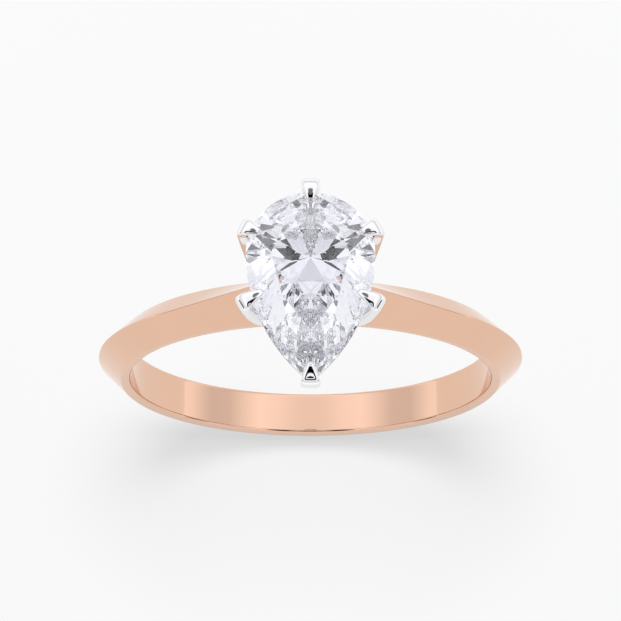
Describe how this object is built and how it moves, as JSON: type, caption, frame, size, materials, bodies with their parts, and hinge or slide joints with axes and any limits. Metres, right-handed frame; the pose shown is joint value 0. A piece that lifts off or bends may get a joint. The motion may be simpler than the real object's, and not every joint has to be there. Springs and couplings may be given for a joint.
{
  "type": "engagement ring",
  "caption": "Solitaire engagement ring: a knife-edge rose gold shank and a clawed white metal head that holds a pear brilliant.",
  "frame": {"origin": "centre of the finger bore", "axes": "+Y along the finger, towards the round end of the pear; +Z towards the stone; +X across the ring"},
  "size_m": [0.02, 0.0095, 0.0238],
  "materials": {
    "rose_gold": "mirror polished",
    "platinum": "mirror polished",
    "diamond": "polished facets"
  },
  "bodies": {
    "root": {"shank": "rose_gold", "head_base": "platinum", "gallery_rail": "platinum", "claw_tip": "platinum", "claw_heel": "platinum", "claw_upper_left": "platinum", "claw_upper_right": "platinum", "claw_lower_left": "platinum", "claw_lower_right": "platinum", "diamond": "diamond"}
  },
  "joints": []
}
